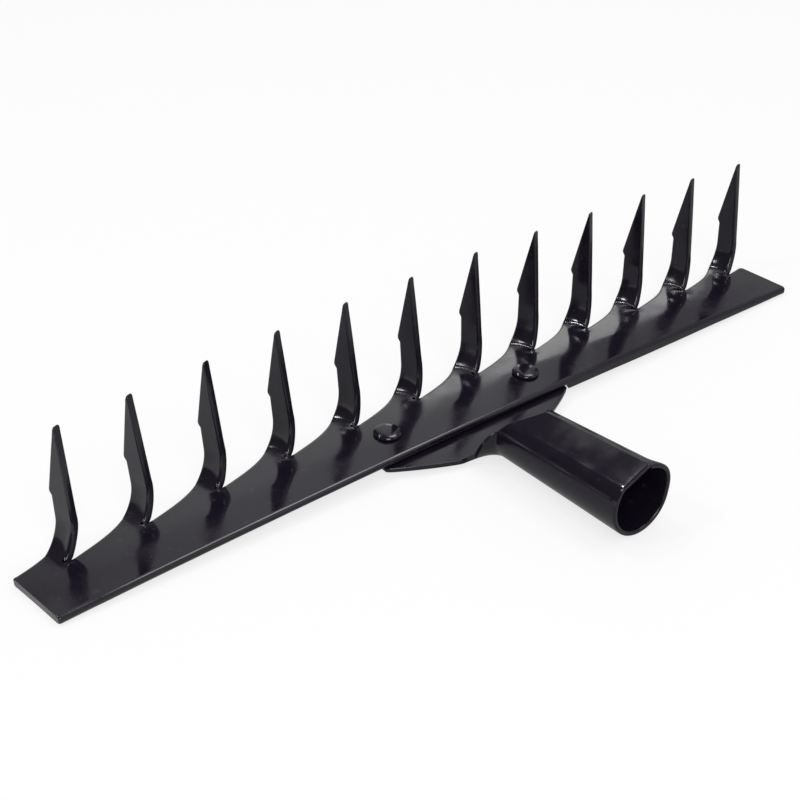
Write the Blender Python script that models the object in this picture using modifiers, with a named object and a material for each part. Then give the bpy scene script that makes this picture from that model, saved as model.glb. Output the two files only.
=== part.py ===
"""Head of a garden rake: one steel plate with upturned twisted teeth, a rolled sheet socket and two rivets.

Everything is worked out in a bar frame: X along the bar, +Y towards the teeth, Z up, with the top of the
bar's middle at height 0. The last step moves the object so that it stands on Z = 0, centred in X and Y.
"""

import math

import bmesh
import bpy
from mathutils import Matrix, Vector

MM = 0.001

# Head plate
PLATE = 3.3 * MM
TOOTH_COUNT = 12
PITCH = 33.0 * MM
END_MARGIN = 15.0 * MM
SPAN = 0.5 * PITCH * (TOOTH_COUNT - 1)
HALF_BAR = SPAN + END_MARGIN
SAGITTA = 6.0 * MM
FRONT_EDGE = -31.0 * MM
FRONT_BOW = 1.5 * MM
CORNER = 1.2 * MM
CORNER_STEPS = 2
LEFT_SKEW = 1.2 * MM
REAR_RISE = 1.0 * MM
CROWN = 1.0 * MM
CROWN_ROUND = 0.12
ROW_SHARES = (0.0, 0.07, 0.16, 0.3, 0.42, 0.5, 0.58, 0.7, 0.88, 0.94, 1.0)

# Deeper front edge of the bar, to the right of the socket's wing
LIP = 2.6 * MM
LIP_WIDTH = 4.0 * MM
LIP_FROM = 50.4 * MM
LIP_GROWS = 1.0 * MM
LIP_FADES_FROM = 90.0 * MM
LIP_FADE = 0.75
LIP_STOPS = 20.0 * MM

# Fold line of a tooth, from the tooth's root, and the rear edge that sweeps up to it from the notch before
FOLD_LEFT = Vector((-0.73, 4.7, 0.0)) * MM
FOLD_RIGHT = Vector((4.1, -5.0, 0.0)) * MM
NOTCH_LIFT = 1.07 * MM
NOTCH_REACH = 5.0 * MM
END_SWEEP = -1.45 * MM
LATE_SWEEP = 0.34
SWEEP_STEPS = 7

# Tooth: a strip folded up at the fold line and twisted until its face looks along the bar. Each of its
# edges is a curve with a first and a last handle, from the bar's face to the blade
STRIP_PARTS = 3
BEND_STEPS = 8
BEND_LEFT = 12.0 * MM
BEND_RIGHT = 14.0 * MM
START_LEFT = Vector((2.9, 2.0, 0.0)) * MM
START_RIGHT = Vector((0.9, 0.55, 0.65)) * MM
END_LEFT = Vector((0.0, 0.0, 7.0)) * MM
END_RIGHT = Vector((0.5, 0.15, 4.5)) * MM
DISH = 0.5 * MM
DISH_FADES = 20.0 * MM
DISH_STARTS = 3.0 * MM
BLADE_AT = Vector((7.5, 2.4, 0.0)) * MM
BLADE_TURN = math.radians(72.7)
BLADE_LEAN = math.radians(-2.4)
BLADE_LEFT = -4.3 * MM
BLADE_RIGHT = 4.7 * MM
NECK_FROM = 13.0 * MM
NECK_TO = 22.6 * MM
BARB_AT = 24.2 * MM
BARB_OUT = 0.95 * MM
BARB_FLAT = 1.0 * MM
TIP_AT = 54.1 * MM
TIP_CENTRE = 2.0 * MM
TIP_WIDTH = 0.4 * MM
TAPER_STEPS = 5

# How each tooth was left when it was bent: lean to +X, lean to +Y and extra twist in degrees, and how
# many millimetres further along the bar its notch is
TOOTH_SET = (
    (3.5, -0.5, 1.0, -1.2),
    (-0.5, -1.0, 1.0, -0.5),
    (-0.5, -0.5, 0.0, 0.0),
    (-1.0, 0.0, -1.0, 0.0),
    (-1.0, 0.5, -0.5, 0.5),
    (-1.0, 0.5, -0.5, 0.5),
    (1.0, 1.0, -1.5, 0.5),
    (1.5, 0.5, -2.0, 1.0),
    (0.5, 0.0, -1.0, 1.0),
    (0.5, 0.0, 0.5, 0.0),
    (-0.3, 0.0, 5.0, -0.3),
    (-1.8, 0.0, 7.0, -2.2),
)

# Gap between pieces that touch on the real object
GAP = 0.3 * MM

# Socket: one sheet, flat under the bar as two wings and rolled to a tube with its seam on top
SHEET = 2.0 * MM
SHEET_PARTS = 36
WING_HALF = 50.0 * MM
WING_REAR = -8.0 * MM
WING_CORNER = 6.0 * MM
WING_STRAIGHT_TO = -31.5 * MM
WING_POWER = 1.15
NECK_HALF = 16.0 * MM
NECK_Y = -47.2 * MM
ROLL_FROM = -45.0 * MM
ROLL_TO = -55.0 * MM
SEAM_FROM = -67.5 * MM
SEAM = 1.2 * MM
SEAM_TURN = math.radians(12.0)
FLAT_FROM = math.radians(132.0)
EDGE_OUT = 1.08
FLAP_POWER = 1.25
MOUTH_Y = -122.0 * MM
MOUTH_RADIUS = 14.95 * MM
MOUTH_BAND = 2.0 * MM
DENT = 1.4 * MM
DENT_LENGTH = 7.0 * MM
DENT_AT = math.radians(122.0)
DENT_WIDTH = math.radians(45.0)
ROOT_Y = -45.0 * MM
ROOT_RADIUS = 12.3 * MM
FLOOR_AT_ROOT = -7.8 * MM
FLOOR_AT_MOUTH = -(SAGITTA + PLATE)
FLOOR_BLEND = 20.0 * MM
ARC_STEPS = 4
WING_STEPS = 9
FLAP_STEPS = 9
TUBE_STEPS = 8

# Rivets
RIVET_X = 38.1 * MM
RIVET_Y = -18.1 * MM
SHANK = 3.0 * MM
HEAD = 5.9 * MM
HEAD_HEIGHT = 2.2 * MM
TAIL = 5.4 * MM
TAIL_HEIGHT = 1.5 * MM
DOME_STEPS = 5
DOME_OUT = 0.8
DOME_UP = 0.7
RIVET_SIDES = 24
HOLE = SHANK + GAP
HOLE_DEPTH = 30.0 * MM

PAINT = (0.03, 0.03, 0.034, 1.0)
SHARP = math.radians(40.0)


def clear_scene():
    for obj in list(bpy.data.objects):
        bpy.data.objects.remove(obj)


def new_collection(name, cutters=False):
    collection = bpy.data.collections.new(name)
    bpy.context.scene.collection.children.link(collection)
    collection.hide_render = cutters
    return collection


def paint(name, roughness):
    material = bpy.data.materials.new(name)
    material.use_nodes = True
    shader = material.node_tree.nodes["Principled BSDF"]
    shader.inputs["Base Color"].default_value = PAINT
    shader.inputs["Roughness"].default_value = roughness
    shader.inputs["Metallic"].default_value = 0.0
    shader.inputs["Coat Weight"].default_value = 0.5
    return material


def smooth(value):
    """Smooth step from 0 to 1, flat outside that range."""
    value = min(max(value, 0.0), 1.0)
    return value * value * (3.0 - 2.0 * value)


def arch(x, y, z):
    """A point of the flat bar moved onto the arched bar, whose ends are lower than its middle."""
    angle = 2.0 * SAGITTA * x / HALF_BAR**2
    return Vector((x + z * math.sin(angle), y, z * math.cos(angle) - SAGITTA * (x / HALF_BAR) ** 2))


def mix(a, b, share):
    return a + (b - a) * share


def root_x(index):
    return index * PITCH - SPAN


def notch(index):
    """The right end of one tooth's fold line, where it meets the bar's rear edge."""
    return FOLD_RIGHT + Vector((TOOTH_SET[index][3] * MM, 0.0, 0.0))


def notch_lift(x, y):
    """How far a point of the bar is drawn up by the nearest tooth's fold."""
    index = min(max(round((x - FOLD_RIGHT.x + SPAN) / PITCH), 0), TOOTH_COUNT - 1)
    line = notch(index) - FOLD_LEFT
    place = Vector((x - root_x(index), y, 0.0)) - FOLD_LEFT
    along = min(max(place.dot(line) / line.length_squared, 0.0), 1.0)
    distance = (place - along * line).length
    return NOTCH_LIFT * along * max(1.0 - distance / NOTCH_REACH, 0.0) ** 3


def front_edge(x):
    return FRONT_EDGE - FRONT_BOW * (1.0 - (x / HALF_BAR) ** 2)


def bar_profile(x, y):
    """Height of the bar before the arch and the folds: its front is lower, with a crest in between."""
    part = y / front_edge(x)
    drop = REAR_RISE * (1.0 - (x / HALF_BAR) ** 4) * part
    slope = math.hypot(0.5, CROWN_ROUND) - math.hypot(part - 0.5, CROWN_ROUND)
    crest = CROWN * slope / (math.hypot(0.5, CROWN_ROUND) - CROWN_ROUND)
    return crest * (1.0 - (x / HALF_BAR) ** 8) - drop


def bar_height(x, y):
    """Height of the bar's top face before the arch."""
    return bar_profile(x, y) + notch_lift(x, y)


def bar_depth(x, y):
    """Thickness of the plate: its front edge is deeper to the right of the socket's wing."""
    near = smooth(1.0 - (y - front_edge(x)) / LIP_WIDTH)
    full = 1.0 - LIP_FADE * smooth((x - LIP_FADES_FROM) / (HALF_BAR - LIP_FADES_FROM))
    ends = smooth((x - LIP_FROM) / LIP_GROWS) * smooth((HALF_BAR - x) / LIP_STOPS)
    return PLATE + LIP * near * full * ends


def end_skew(x, y):
    """How much further the bar's left end reaches at the rear than at the front."""
    out = max((-x - SPAN) / END_MARGIN, 0.0)
    return Vector((-LEFT_SKEW * out**2 * (1.0 - y / FRONT_EDGE), 0.0, 0.0))


def rear_points():
    """(x, y, tooth or None) along the rear edge, in order. The points of each fold line name their tooth."""
    points = []
    for index in range(TOOTH_COUNT + 1):
        before = notch(max(index - 1, 0))
        start = before.y if index > 0 else END_SWEEP
        for step in range(1, SWEEP_STEPS):
            share = step / SWEEP_STEPS
            x = root_x(index) + mix(before.x - PITCH, FOLD_LEFT.x, share)
            y = mix(start, FOLD_LEFT.y, mix(share, share**4, LATE_SWEEP))
            if abs(x) < HALF_BAR - CORNER:
                points.append((x, y, None))
        if index == TOOTH_COUNT:
            break
        for part in range(STRIP_PARTS + 1):
            at = FOLD_LEFT.lerp(notch(index), part / STRIP_PARTS)
            points.append((root_x(index) + at.x, at.y, index))
    return points


def corner_columns(rear, side):
    """Columns of the rounded corners at one end of the bar, from the end inwards."""
    columns = []
    for step in range(CORNER_STEPS + 1):
        angle = math.radians(90.0 * step / CORNER_STEPS)
        x = side * (HALF_BAR - CORNER * (1.0 - math.cos(angle)))
        inset = CORNER * (1.0 - math.sin(angle))
        columns.append((x, rear - inset, front_edge(x) + inset, None))
    return columns


def bar_columns():
    """(x, rear y, front y, tooth or None) of every column of the bar, from -X to +X."""
    rear = rear_points()
    middle = [(x, y, front_edge(x), tooth) for x, y, tooth in rear]
    return corner_columns(rear[0][1], -1.0) + middle + corner_columns(rear[-1][1], 1.0)[::-1]


def make_grid(bm, columns, rows):
    """A grid of columns by rows of points, returned as a table [column][row]."""
    made = bmesh.ops.create_grid(bm, x_segments=columns - 1, y_segments=rows - 1, size=1.0)
    table = [[None] * rows for _ in range(columns)]
    for vert in made["verts"]:
        column = round((vert.co.x + 1.0) / 2.0 * (columns - 1))
        row = round((vert.co.y + 1.0) / 2.0 * (rows - 1))
        table[column][row] = vert
    return table


def blade_edges(height):
    """Where the left and right edges of a blade are across its face, at one height."""
    right = mix(BLADE_RIGHT, TIP_CENTRE + 0.5 * TIP_WIDTH, (height - NECK_FROM) / (TIP_AT - NECK_FROM))
    barb = BLADE_LEFT - BARB_OUT
    taper_from = BARB_AT + BARB_FLAT
    if height <= NECK_TO:
        left = BLADE_LEFT
    elif height <= taper_from:
        left = mix(BLADE_LEFT, barb, min((height - NECK_TO) / (BARB_AT - NECK_TO), 1.0))
    else:
        left = mix(barb, TIP_CENTRE - 0.5 * TIP_WIDTH, (height - taper_from) / (TIP_AT - taper_from))
    return left, right


def on_blade(across, height):
    """A point of the blade's face in the tooth's own frame."""
    face_x = Vector((math.cos(BLADE_TURN), -math.sin(BLADE_TURN), 0.0))
    away = Vector((math.sin(BLADE_TURN), math.cos(BLADE_TURN), 0.0))
    return BLADE_AT + across * face_x + height * math.tan(BLADE_LEAN) * away + Vector((0.0, 0.0, height))


def bend_edge(foot, start, end, top, share):
    """A point of the curve that leaves foot by the step start and comes up to top by the step end."""
    rest = 1.0 - share
    near = rest**3 * foot + 3.0 * rest**2 * share * (foot + start)
    return near + 3.0 * rest * share**2 * (top - end) + share**3 * top


def tooth_stations(index):
    """(left point, right point) of each station from the fold line up, in the tooth's own frame."""
    foot = notch(index) + Vector((0.0, 0.0, NOTCH_LIFT))
    left_edge = FOLD_LEFT, START_LEFT, END_LEFT, on_blade(BLADE_LEFT, BEND_LEFT)
    right_edge = foot, START_RIGHT, END_RIGHT, on_blade(BLADE_RIGHT, BEND_RIGHT)
    stations = []
    for step in range(BEND_STEPS + 1):
        share = step / BEND_STEPS
        stations.append((bend_edge(*left_edge, share), bend_edge(*right_edge, share)))
    taper_from = BARB_AT + BARB_FLAT
    heights = [0.5 * (BEND_RIGHT + NECK_TO), NECK_TO, BARB_AT, taper_from]
    heights += [mix(taper_from, TIP_AT, step / TAPER_STEPS) for step in range(1, TAPER_STEPS + 1)]
    for height in heights:
        left, right = blade_edges(height)
        stations.append((on_blade(left, height), on_blade(right, height)))
    return stations


def set_tooth(point, index):
    """A point of the tooth in its own frame, twisted, leaned and moved to its place on the bar."""
    share = smooth(point.z / BEND_LEFT)
    lean_x, lean_y, twist = (math.radians(angle) * share for angle in TOOTH_SET[index][:3])
    pivot = Vector((BLADE_AT.x, BLADE_AT.y, 0.0))
    turned = Matrix.Rotation(-twist, 3, "Z") @ (point - pivot) + pivot
    x = root_x(index) + turned.x + point.z * math.sin(lean_x)
    return arch(x, turned.y + point.z * math.sin(lean_y), point.z)


def extrude_line(bm, line):
    """Extrudes the edges between these vertices. Returns the new vertices in the same order."""
    edges = [bm.edges.get(pair) for pair in zip(line, line[1:])]
    made = bmesh.ops.extrude_edge_only(bm, edges=edges)["geom"]
    fresh = {item for item in made if isinstance(item, bmesh.types.BMVert)}
    follow = []
    for vert in line:
        ends = [edge.other_vert(vert) for edge in vert.link_edges]
        follow.append(next(end for end in ends if end in fresh))
    return follow


def raise_tooth(bm, fold, index):
    """Extrudes the fold line's edges station by station into a dished, twisted and pointed strip."""
    line = fold
    stations = tooth_stations(index)
    fold_left, fold_right = stations[0]
    for row, (left, right) in enumerate(stations[1:], start=1):
        line = extrude_line(bm, line)
        across = right - left
        face_in = across.cross(Vector((0.0, 0.0, 1.0))).normalized()
        height = 0.5 * (left.z + right.z)
        dish = DISH * smooth(height / DISH_STARTS) * (1.0 - smooth(height / DISH_FADES))
        settle = max(1.0 - row / BEND_STEPS, 0.0) ** 2
        for part, vert in enumerate(line):
            share = part / STRIP_PARTS
            hollow = 4.0 * share * (1.0 - share) * dish
            foot = fold_left.lerp(fold_right, share)
            point = left + across * share - face_in * hollow
            point.z += settle * (bar_height(root_x(index) + foot.x, foot.y) - foot.z)
            vert.co = set_tooth(point, index)


def add_object(name, bm, collection, material):
    mesh = bpy.data.meshes.new(name)
    bm.to_mesh(mesh)
    bm.free()
    mesh.materials.append(material)
    obj = bpy.data.objects.new(name, mesh)
    collection.objects.link(obj)
    return obj


def thicken(obj, thickness):
    solid = obj.modifiers.new("Thickness", "SOLIDIFY")
    solid.thickness = thickness
    solid.offset = -1.0
    solid.use_even_offset = True


def cut(obj, cutters):
    for cutter in cutters:
        hole = obj.modifiers.new("Hole", "BOOLEAN")
        hole.operation = "DIFFERENCE"
        hole.solver = "EXACT"
        hole.object = cutter


def build_head(collection, material, cutters):
    columns = bar_columns()
    bm = bmesh.new()
    table = make_grid(bm, len(columns), len(ROW_SHARES))
    folds = {}
    for (x, rear, front, tooth), verts in zip(columns, table):
        for share, vert in zip(ROW_SHARES, reversed(verts)):
            y = mix(rear, front, share)
            vert.co = arch(x, y, bar_height(x, y)) + end_skew(x, y)
        if tooth is not None:
            folds.setdefault(tooth, []).append(verts[-1])
    for index, fold in folds.items():
        raise_tooth(bm, fold, index)
    obj = add_object("head_plate", bm, collection, material)
    depth = obj.vertex_groups.new(name="depth")
    for vert in obj.data.vertices:
        depth.add([vert.index], bar_depth(vert.co.x, vert.co.y) / (PLATE + LIP), "REPLACE")
    thicken(obj, PLATE + LIP)
    obj.modifiers["Thickness"].vertex_group = depth.name
    cut(obj, cutters)
    return obj


def taper_share(y):
    """0 where the taper starts, 1 on the short straight band at the mouth."""
    return min((ROOT_Y - y) / (ROOT_Y - MOUTH_Y - MOUTH_BAND), 1.0)


def tube_radius(y):
    return mix(ROOT_RADIUS, MOUTH_RADIUS, taper_share(y))


def wing_rows():
    """(y, left width, right width) of the flat wings, from their rear edge to the neck."""
    rows = []
    for step in range(ARC_STEPS + 1):
        angle = math.radians(90.0 * step / ARC_STEPS)
        y = WING_REAR - WING_CORNER * (1.0 - math.cos(angle))
        half = WING_HALF - WING_CORNER * (1.0 - math.sin(angle))
        rows.append((y, half, half))
    rows.append((mix(WING_REAR - WING_CORNER, WING_STRAIGHT_TO, 0.5), WING_HALF, WING_HALF))
    for step in range(WING_STEPS):
        share = math.sin(math.radians(90.0 * step / WING_STEPS))
        half = mix(NECK_HALF, WING_HALF, (1.0 - share**WING_POWER) ** (1.0 / WING_POWER))
        rows.append((mix(WING_STRAIGHT_TO, NECK_Y, share), half, half))
    return rows


def tube_row(y):
    """(y, left width, right width) of the sheet that closes the tube but for the seam."""
    half = math.pi * tube_radius(y) - 0.5 * SEAM
    shift = SEAM_TURN * tube_radius(y)
    return y, half + shift, half - shift


def sheet_rows():
    """(y, left width, right width) of the whole sheet laid flat, from under the bar to the mouth."""
    rows = wing_rows()
    _, left, right = tube_row(SEAM_FROM)
    for step in range(FLAP_STEPS):
        share = step / FLAP_STEPS
        grown = share**FLAP_POWER
        y = mix(NECK_Y, SEAM_FROM, share)
        rows.append((y, mix(NECK_HALF, left, grown), mix(NECK_HALF, right, grown)))
    for step in range(TUBE_STEPS + 1):
        rows.append(tube_row(mix(SEAM_FROM, MOUTH_Y + MOUTH_BAND, step / TUBE_STEPS)))
    rows.append(tube_row(MOUTH_Y))
    return rows


def sheet_floor(y):
    """Height of the sheet's outer face on its centre line."""
    wing = bar_profile(0.0, max(y, front_edge(0.0))) - PLATE - GAP - SHEET
    tube = mix(FLOOR_AT_ROOT, FLOOR_AT_MOUTH, taper_share(y))
    return mix(wing, tube, smooth((FRONT_EDGE - y) / FLOOR_BLEND))


def round_tube(turn, reach=1.0):
    """(x, height over the underside) on a round tube of radius 1, drawn out to reach at that turn."""
    return Vector((reach * math.sin(turn), 1.0 - reach * math.cos(turn)))


def tube_section(turn):
    """The same on the real tube, whose left edge is flat and stands a little proud at the seam."""
    if turn > -FLAT_FROM:
        return round_tube(turn)
    edge = -math.pi - SEAM_TURN
    return round_tube(-FLAT_FROM).lerp(round_tube(edge, EDGE_OUT), (turn + FLAT_FROM) / (edge + FLAT_FROM))


def sheet_point(y, along):
    """A point of the sheet's outer face: flat under the bar, bent to the tube's circle from the neck on."""
    roll = smooth((ROLL_FROM - y) / (ROLL_FROM - ROLL_TO))
    x, rise = along, 0.0
    if roll > 0.0:
        radius = tube_radius(y) / roll
        turn = along / radius
        sprung = DENT * smooth(1.0 - (y - MOUTH_Y) / DENT_LENGTH)
        sprung *= smooth(1.0 - abs(turn - DENT_AT) / DENT_WIDTH)
        x, rise = radius * tube_section(turn) + sprung * Vector((math.sin(turn), -math.cos(turn)))
    return Vector((x, y, sheet_floor(y) + rise - SAGITTA * (x / HALF_BAR) ** 2))


def build_socket(collection, material, cutters):
    rows = sheet_rows()
    bm = bmesh.new()
    table = make_grid(bm, SHEET_PARTS + 1, len(rows))
    for column, verts in enumerate(table):
        share = 2.0 * column / SHEET_PARTS - 1.0
        for (y, left, right), vert in zip(rows, reversed(verts)):
            vert.co = sheet_point(y, share * (left if share < 0.0 else right))
    bmesh.ops.reverse_faces(bm, faces=bm.faces)
    obj = add_object("socket", bm, collection, material)
    thicken(obj, SHEET)
    cut(obj, cutters)
    return obj


def dome(radius, height):
    """(radius, height) points of a flattened dome, from its middle to its rim."""
    points = []
    for step in range(DOME_STEPS + 1):
        angle = math.radians(90.0 * step / DOME_STEPS)
        points.append((radius * math.sin(angle) ** DOME_OUT, height * math.cos(angle) ** DOME_UP))
    return points


def rivet_profile(thickness):
    """(radius, height) of half a rivet, from the top of its head to the bottom of its flattened tail."""
    head = [(radius, GAP + height) for radius, height in dome(HEAD, HEAD_HEIGHT)]
    tail = [(radius, -thickness - GAP - height) for radius, height in dome(TAIL, TAIL_HEIGHT)]
    return head + [(SHANK, GAP), (SHANK, -thickness - GAP)] + tail[::-1]


def rivet_place(side):
    """World matrix of a rivet or its hole: on the bar's top face and square to it."""
    x = side * RIVET_X
    tilt = 2.0 * SAGITTA * x / HALF_BAR**2
    rise = bar_profile(x, RIVET_Y + MM) - bar_profile(x, RIVET_Y - MM)
    turn = Matrix.Rotation(tilt, 4, "Y") @ Matrix.Rotation(math.atan2(rise, 2.0 * MM), 4, "X")
    return Matrix.Translation(arch(x, RIVET_Y, bar_profile(x, RIVET_Y))) @ turn


def build_rivet(name, side, collection, material):
    bm = bmesh.new()
    profile = rivet_profile(PLATE + GAP + SHEET)
    verts = [bm.verts.new((radius, 0.0, height)) for radius, height in profile]
    edges = [bm.edges.new(pair) for pair in zip(verts, verts[1:])]
    bmesh.ops.spin(
        bm,
        geom=verts + edges,
        axis=(0.0, 0.0, 1.0),
        cent=(0.0, 0.0, 0.0),
        angle=2.0 * math.pi,
        steps=RIVET_SIDES,
        use_merge=True,
    )
    bmesh.ops.remove_doubles(bm, verts=bm.verts, dist=1e-6)
    bmesh.ops.recalc_face_normals(bm, faces=bm.faces)
    obj = add_object(name, bm, collection, material)
    obj.data.shade_smooth()
    obj.data.set_sharp_from_angle(angle=SHARP)
    obj.matrix_world = rivet_place(side)
    return obj


def hole_cutter(name, side, collection):
    bm = bmesh.new()
    bmesh.ops.create_cone(
        bm,
        cap_ends=True,
        segments=RIVET_SIDES,
        radius1=HOLE,
        radius2=HOLE,
        depth=HOLE_DEPTH,
    )
    mesh = bpy.data.meshes.new(name)
    bm.to_mesh(mesh)
    bm.free()
    obj = bpy.data.objects.new(name, mesh)
    collection.objects.link(obj)
    obj.matrix_world = rivet_place(side)
    obj.display_type = "WIRE"
    obj.hide_render = True
    return obj


def stand_on_floor(parts, cutters):
    """Moves everything so that the parts stand on Z = 0, centred in X and Y."""
    bpy.context.view_layer.update()
    graph = bpy.context.evaluated_depsgraph_get()
    corners = []
    for obj in parts:
        evaluated = obj.evaluated_get(graph)
        mesh = evaluated.to_mesh()
        corners += [evaluated.matrix_world @ vert.co for vert in mesh.vertices]
        evaluated.to_mesh_clear()
    low = [min(point[axis] for point in corners) for axis in range(3)]
    high = [max(point[axis] for point in corners) for axis in range(3)]
    move = Vector((-(low[0] + high[0]) / 2.0, -(low[1] + high[1]) / 2.0, -low[2]))
    for obj in parts + cutters:
        obj.location = obj.location + move


def main():
    clear_scene()
    parts_in = new_collection("garden_rake_head")
    cutters_in = new_collection("cutters", cutters=True)
    head_paint = paint("head_paint", 0.3)
    socket_paint = paint("socket_paint", 0.35)
    rivet_paint = paint("rivet_paint", 0.25)
    sides = (("left", -1.0), ("right", 1.0))
    cutters = [hole_cutter(f"cut_rivet_{name}", side, cutters_in) for name, side in sides]
    parts = [build_head(parts_in, head_paint, cutters), build_socket(parts_in, socket_paint, cutters)]
    parts += [build_rivet(f"rivet_{name}", side, parts_in, rivet_paint) for name, side in sides]
    stand_on_floor(parts, cutters)


main()
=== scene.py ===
"""Looks of the garden rake head: plate with teeth, rolled socket, rivets and studio."""

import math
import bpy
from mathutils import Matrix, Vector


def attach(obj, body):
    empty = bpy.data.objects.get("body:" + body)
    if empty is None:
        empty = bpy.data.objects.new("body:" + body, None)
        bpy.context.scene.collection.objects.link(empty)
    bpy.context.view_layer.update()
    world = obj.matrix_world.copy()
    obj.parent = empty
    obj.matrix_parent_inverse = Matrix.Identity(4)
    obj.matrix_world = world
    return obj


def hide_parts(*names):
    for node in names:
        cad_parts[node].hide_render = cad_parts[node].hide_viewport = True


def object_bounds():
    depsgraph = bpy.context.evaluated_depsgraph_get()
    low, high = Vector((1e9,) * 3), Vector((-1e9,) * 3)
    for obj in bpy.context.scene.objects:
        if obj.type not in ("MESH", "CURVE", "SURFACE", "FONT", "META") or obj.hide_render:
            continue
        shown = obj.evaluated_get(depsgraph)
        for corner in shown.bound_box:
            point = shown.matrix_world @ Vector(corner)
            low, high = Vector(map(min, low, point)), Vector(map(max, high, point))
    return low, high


bl_info = {
    "name": "Garden rake head",
    "version": (1, 0, 0),
    "blender": (4, 5, 0),
    "location": "3D View > Sidebar > Rake",
    "description": "Builds a painted steel garden rake head on its construction model",
    "category": "Object",
}

import bmesh
import bpy
from bpy.props import FloatProperty, FloatVectorProperty, IntProperty, PointerProperty
from mathutils import Matrix, Vector

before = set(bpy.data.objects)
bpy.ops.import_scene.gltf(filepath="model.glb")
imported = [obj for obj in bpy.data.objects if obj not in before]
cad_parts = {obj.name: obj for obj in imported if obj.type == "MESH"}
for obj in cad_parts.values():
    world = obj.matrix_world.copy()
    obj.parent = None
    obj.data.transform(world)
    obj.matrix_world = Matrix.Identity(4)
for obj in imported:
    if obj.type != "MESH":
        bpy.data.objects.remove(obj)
CAD_LOW, CAD_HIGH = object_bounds()
PAINT_NAME = "glossy_black_paint"

MM = 0.001


def length(name, description, millimetres):
    """A size setting, given in millimetres and kept in metres."""
    return FloatProperty(
        name=name, description=description, default=millimetres * MM, unit="LENGTH", precision=5
    )


def angle(name, description, degrees):
    """An angle setting, given in degrees."""
    return FloatProperty(
        name=name, description=description, default=math.radians(degrees), unit="ROTATION"
    )


def colour(name, description, value):
    """A colour setting, in linear red, green and blue."""
    return FloatVectorProperty(
        name=name, description=description, default=value, subtype="COLOR", size=3, min=0.0
    )


def spot(name, description, millimetres):
    """A place or a step, given in millimetres and kept in metres."""
    place = [value * MM for value in millimetres]
    return FloatVectorProperty(
        name=name, description=description, default=place, subtype="XYZ", size=3
    )


def factor(name, description, value):
    """A plain number from 0 up: a share, a ratio or a power."""
    return FloatProperty(name=name, description=description, default=value, min=0.0, soft_max=2.0)


class PlateSettings(bpy.types.PropertyGroup):
    """Sizes of the bar, in its own frame: X along the bar, +Y to the teeth, Z up."""

    thickness: length("Plate", "Thickness of the steel plate", 3.3)
    teeth: IntProperty(name="Teeth", description="Number of teeth", default=12, min=2)
    pitch: length("Pitch", "Distance from tooth to tooth", 33.0)
    end_margin: length("End margin", "From the last tooth's root to the bar's end", 15.0)
    sagitta: length("Arch", "How much lower the bar's ends are than its middle", 6.0)
    front_edge: length("Front edge", "Where the front edge is at the bar's ends", -31.0)
    front_bow: length("Front bow", "How far the front edge swells at the middle", 1.5)
    corner: length("Corner", "Radius of the bar's corners", 1.2)
    left_skew: length("Left skew", "How much further the left end reaches at the rear", 1.2)
    rear_rise: length("Rear rise", "How much higher the teeth's line is than the bar's front", 1.0)
    crown: length("Crown", "How far the bar bulges between the teeth and the front edge", 1.0)
    crown_round: factor("Crown rounding", "Width of the bulge's crest, as a share of the bar", 0.12)
    lip: length("Lip", "How much deeper the front edge is on the right-hand half", 2.6)
    lip_width: length("Lip width", "How far the deeper edge reaches back", 4.0)
    lip_from: length("Lip from", "Where the deeper edge starts", 50.4)
    lip_grows: length("Lip grows", "Length over which it deepens", 1.0)
    lip_fades_from: length("Lip fades from", "Where it starts to fade towards the bar's end", 90.0)
    lip_fade: factor("Lip fade", "How much of it is gone near the bar's end", 0.75)
    lip_stops: length("Lip stops", "Length of its run-out at the bar's end", 20.0)
    notch_lift: length("Notch lift", "How far the corner of each notch is drawn up", 1.07)
    notch_reach: length("Notch reach", "How far that lift reaches into the bar", 5.0)
    edge_round: length("Edge rounding", "Width of the rounded edges", 1.6)


class ToothSettings(bpy.types.PropertyGroup):
    """Sizes of one tooth, from its root."""

    fold_left: spot("Fold left", "Left end of the fold line", (-0.73, 4.7, 0.0))
    fold_right: spot("Fold right", "Right end of the fold line, the notch", (4.1, -5.0, 0.0))
    end_sweep: length("End sweep", "Where the rear edge's sweep starts beyond the left end", -1.45)
    sweep_late: factor("Late sweep", "Share of the rear edge's sweep that comes at its end", 0.34)
    bend_left: length("Bend left", "Height at which the left edge stands upright", 12.0)
    bend_right: length("Bend right", "Height at which the right edge stands upright", 14.0)
    start_left: spot("Start left", "How the left edge leaves the bar", (2.9, 2.0, 0.0))
    start_right: spot("Start right", "How the right edge leaves the bar", (0.9, 0.55, 0.65))
    end_left: spot("End left", "How the left edge comes upright", (0.0, 0.0, 7.0))
    end_right: spot("End right", "How the right edge comes upright", (0.15, 0.0, 6.0))
    dish: length("Dish", "Depth of the hollow pressed into the bend", 0.8)
    dish_from: length("Dish from", "Height over which the hollow sets in", 1.5)
    dish_fades: length("Dish fades", "Height at which the hollow ends", 20.0)
    blade_at: spot("Blade", "Foot of the blade's centre line", (7.5, 2.4, 0.0))
    turn: angle("Blade turn", "How far the blade's face is turned from the bar's front", 72.7)
    lean: angle("Blade lean", "Lean of the blade towards its back", -2.4)
    left: length("Left edge", "Left edge of the neck across the face", -4.3)
    right: length("Right edge", "Right edge of the neck across the face", 4.7)
    neck_from: length("Neck from", "Height at which the neck is straight", 13.0)
    neck_to: length("Neck to", "Height at which the barb starts", 22.6)
    neck_ease: factor("Neck ease", "How softly the right edge turns in towards the tip", 0.2)
    barb_at: length("Barb", "Height of the barb", 24.2)
    barb_out: length("Barb width", "How far the barb stands out", 0.95)
    barb_flat: length("Barb flat", "Height of the barb's flat end", 1.0)
    tip_at: length("Tip", "Height of the tip", 54.1)
    tip_centre: length("Tip centre", "Where the tip is across the face", 2.0)
    tip_width: length("Tip width", "Width of the blunt tip", 0.4)


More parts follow.
